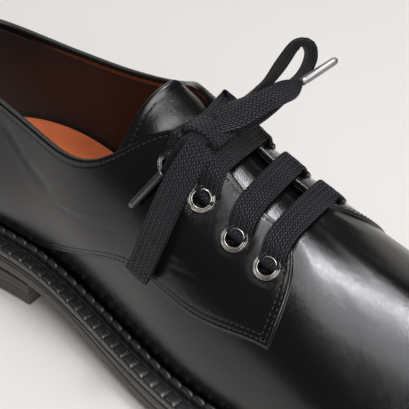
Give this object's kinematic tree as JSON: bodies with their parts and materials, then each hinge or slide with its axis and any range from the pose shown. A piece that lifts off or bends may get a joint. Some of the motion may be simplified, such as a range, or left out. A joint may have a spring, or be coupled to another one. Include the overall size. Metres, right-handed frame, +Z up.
{
  "type": "derby shoe",
  "caption": "Right derby dress shoe with open lacing over a tongue, a bow of flat lace, a storm welt with a raised rim, and a low stacked heel. It stands empty on its sole.",
  "frame": {"origin": "middle of the shoe's length and width, on the floor under the heel and the ball of the foot", "axes": "+X from heel to toe, +Y to the inner side of the foot, +Z up"},
  "size_m": [0.302, 0.1039, 0.1179],
  "materials": {
    "upper": "polished",
    "tongue": "polished",
    "insole": "satin",
    "outsole": "satin",
    "heel": "satin",
    "welt": "satin",
    "eyelet": "polished",
    "lace": "matte",
    "aglet": "glossy"
  },
  "bodies": {
    "root": {"upper": "upper", "tongue": "tongue", "insole": "insole", "outsole": "outsole", "heel": "heel", "welt": "welt", "eyelet_outer_1": "eyelet", "eyelet_outer_2": "eyelet", "eyelet_outer_3": "eyelet", "eyelet_outer_4": "eyelet", "eyelet_inner_1": "eyelet", "eyelet_inner_2": "eyelet", "eyelet_inner_3": "eyelet", "eyelet_inner_4": "eyelet", "lace_bar_1": "lace", "lace_bar_2": "lace", "lace_bar_3": "lace", "lace_bar_4": "lace", "lace_knot": "lace", "lace_loop_near": "lace", "lace_loop_far": "lace", "lace_end_near": "lace", "lace_end_far": "lace", "aglet_near": "aglet", "aglet_far": "aglet"}
  },
  "joints": []
}
